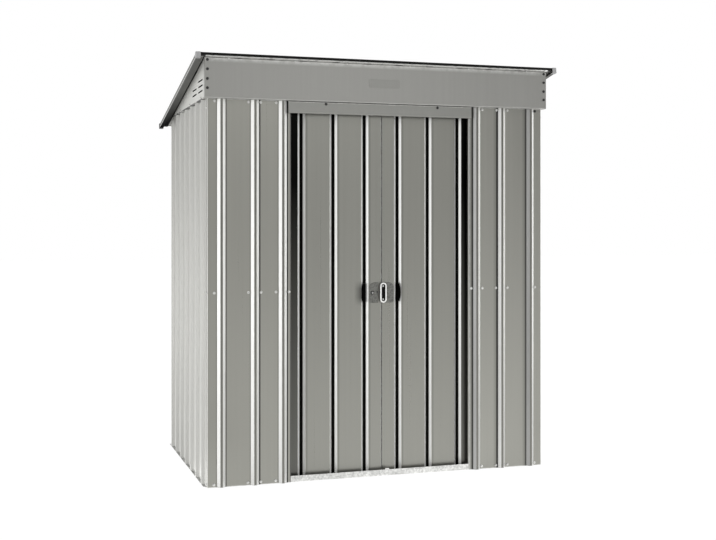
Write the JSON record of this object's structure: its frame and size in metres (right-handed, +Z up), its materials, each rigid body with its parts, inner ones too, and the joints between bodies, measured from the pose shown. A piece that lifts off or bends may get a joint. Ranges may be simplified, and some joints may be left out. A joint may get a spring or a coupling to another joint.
{
  "type": "metal tool shed",
  "caption": "Metal tool shed with a single-slope roof, ridged sheet walls, slotted gables and grooved doors that slide apart behind the front walls.",
  "frame": {"origin": "on the ground under the middle of the walls and of the roof", "axes": "+X to the right as the doors are faced, +Y from the doors to the rear wall, +Z up"},
  "size_m": [1.684, 1.152, 1.8507],
  "materials": {
    "sheet": "satin metallic grey coated steel sheet",
    "roof": "satin metallic grey coated steel sheet",
    "rail": "bare galvanised steel",
    "cap": "moulded grey plastic",
    "runner": "moulded nylon",
    "lock": "grey coated pressed steel"
  },
  "bodies": {
    "shed": {"front_wall_left": "sheet", "front_wall_right": "sheet", "rear_wall_left": "sheet", "rear_wall_right": "sheet", "side_wall_left_front": "sheet", "side_wall_left_rear": "sheet", "side_wall_right_front": "sheet", "side_wall_right_rear": "sheet", "base_rail_front": "rail", "base_rail_rear": "rail", "base_rail_left": "rail", "base_rail_right": "rail", "mid_rail_front_left": "rail", "mid_rail_front_right": "rail", "mid_rail_left": "rail", "mid_rail_right": "rail", "mid_rail_rear": "rail", "top_rail_left": "rail", "top_rail_right": "rail", "top_rail_rear": "rail", "door_hanging_rail": "rail", "door_head_rail": "sheet", "fascia_front": "sheet", "gable_left": "sheet", "gable_right": "sheet", "roof_sheet_left": "roof", "roof_sheet_right": "roof", "roof_beam": "rail", "roof_trim_front": "roof", "roof_trim_rear": "roof", "roof_trim_left": "roof", "roof_trim_right": "roof", "roof_cap_front_left": "cap", "roof_cap_front_right": "cap", "roof_cap_rear_left": "cap", "roof_cap_rear_right": "cap"},
    "door_left": {"door_leaf_left": "sheet", "door_braces_left": "rail", "door_runners_left": "runner", "door_seam_strip": "sheet", "lock_plate_left": "lock"},
    "door_right": {"door_leaf_right": "sheet", "door_braces_right": "rail", "door_runners_right": "runner", "lock_plate_right": "lock"}
  },
  "joints": [
    {"name": "door_left_slide", "type": "slide", "parent": "shed", "child": "door_left", "axis": [-1, 0, 0], "range_m": [0, 0.3]},
    {"name": "door_right_slide", "type": "slide", "parent": "shed", "child": "door_right", "axis": [1, 0, 0], "range_m": [0, 0.3]}
  ]
}
